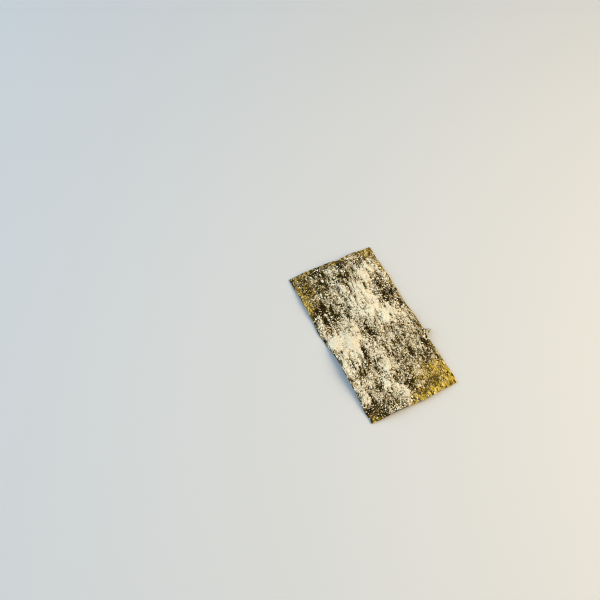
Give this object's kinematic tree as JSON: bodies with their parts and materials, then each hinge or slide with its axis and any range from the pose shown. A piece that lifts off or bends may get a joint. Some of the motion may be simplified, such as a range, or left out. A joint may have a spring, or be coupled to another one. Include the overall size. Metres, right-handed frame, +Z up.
{
  "type": "seaweed snack",
  "caption": "Single strip of crisp fried seaweed, thin and wavy, with pale crumbly seasoning stuck to its upper face; lies flat and is picked up and eaten by hand.",
  "frame": {"origin": "under the middle of the strip's bounding box, on the surface that it rests on", "axes": "+Y along the strip's length, towards the end that is far from the camera in the picture; +X across it to the right; +Z up, out of the seasoned face"},
  "size_m": [0.043, 0.0764, 0.0058],
  "materials": {
    "seaweed": "dark olive crisp sheet with a slight oily gloss",
    "seasoning": "matt cream powder and crumbs"
  },
  "bodies": {
    "root": {"seaweed_strip": "seaweed"}
  },
  "joints": []
}
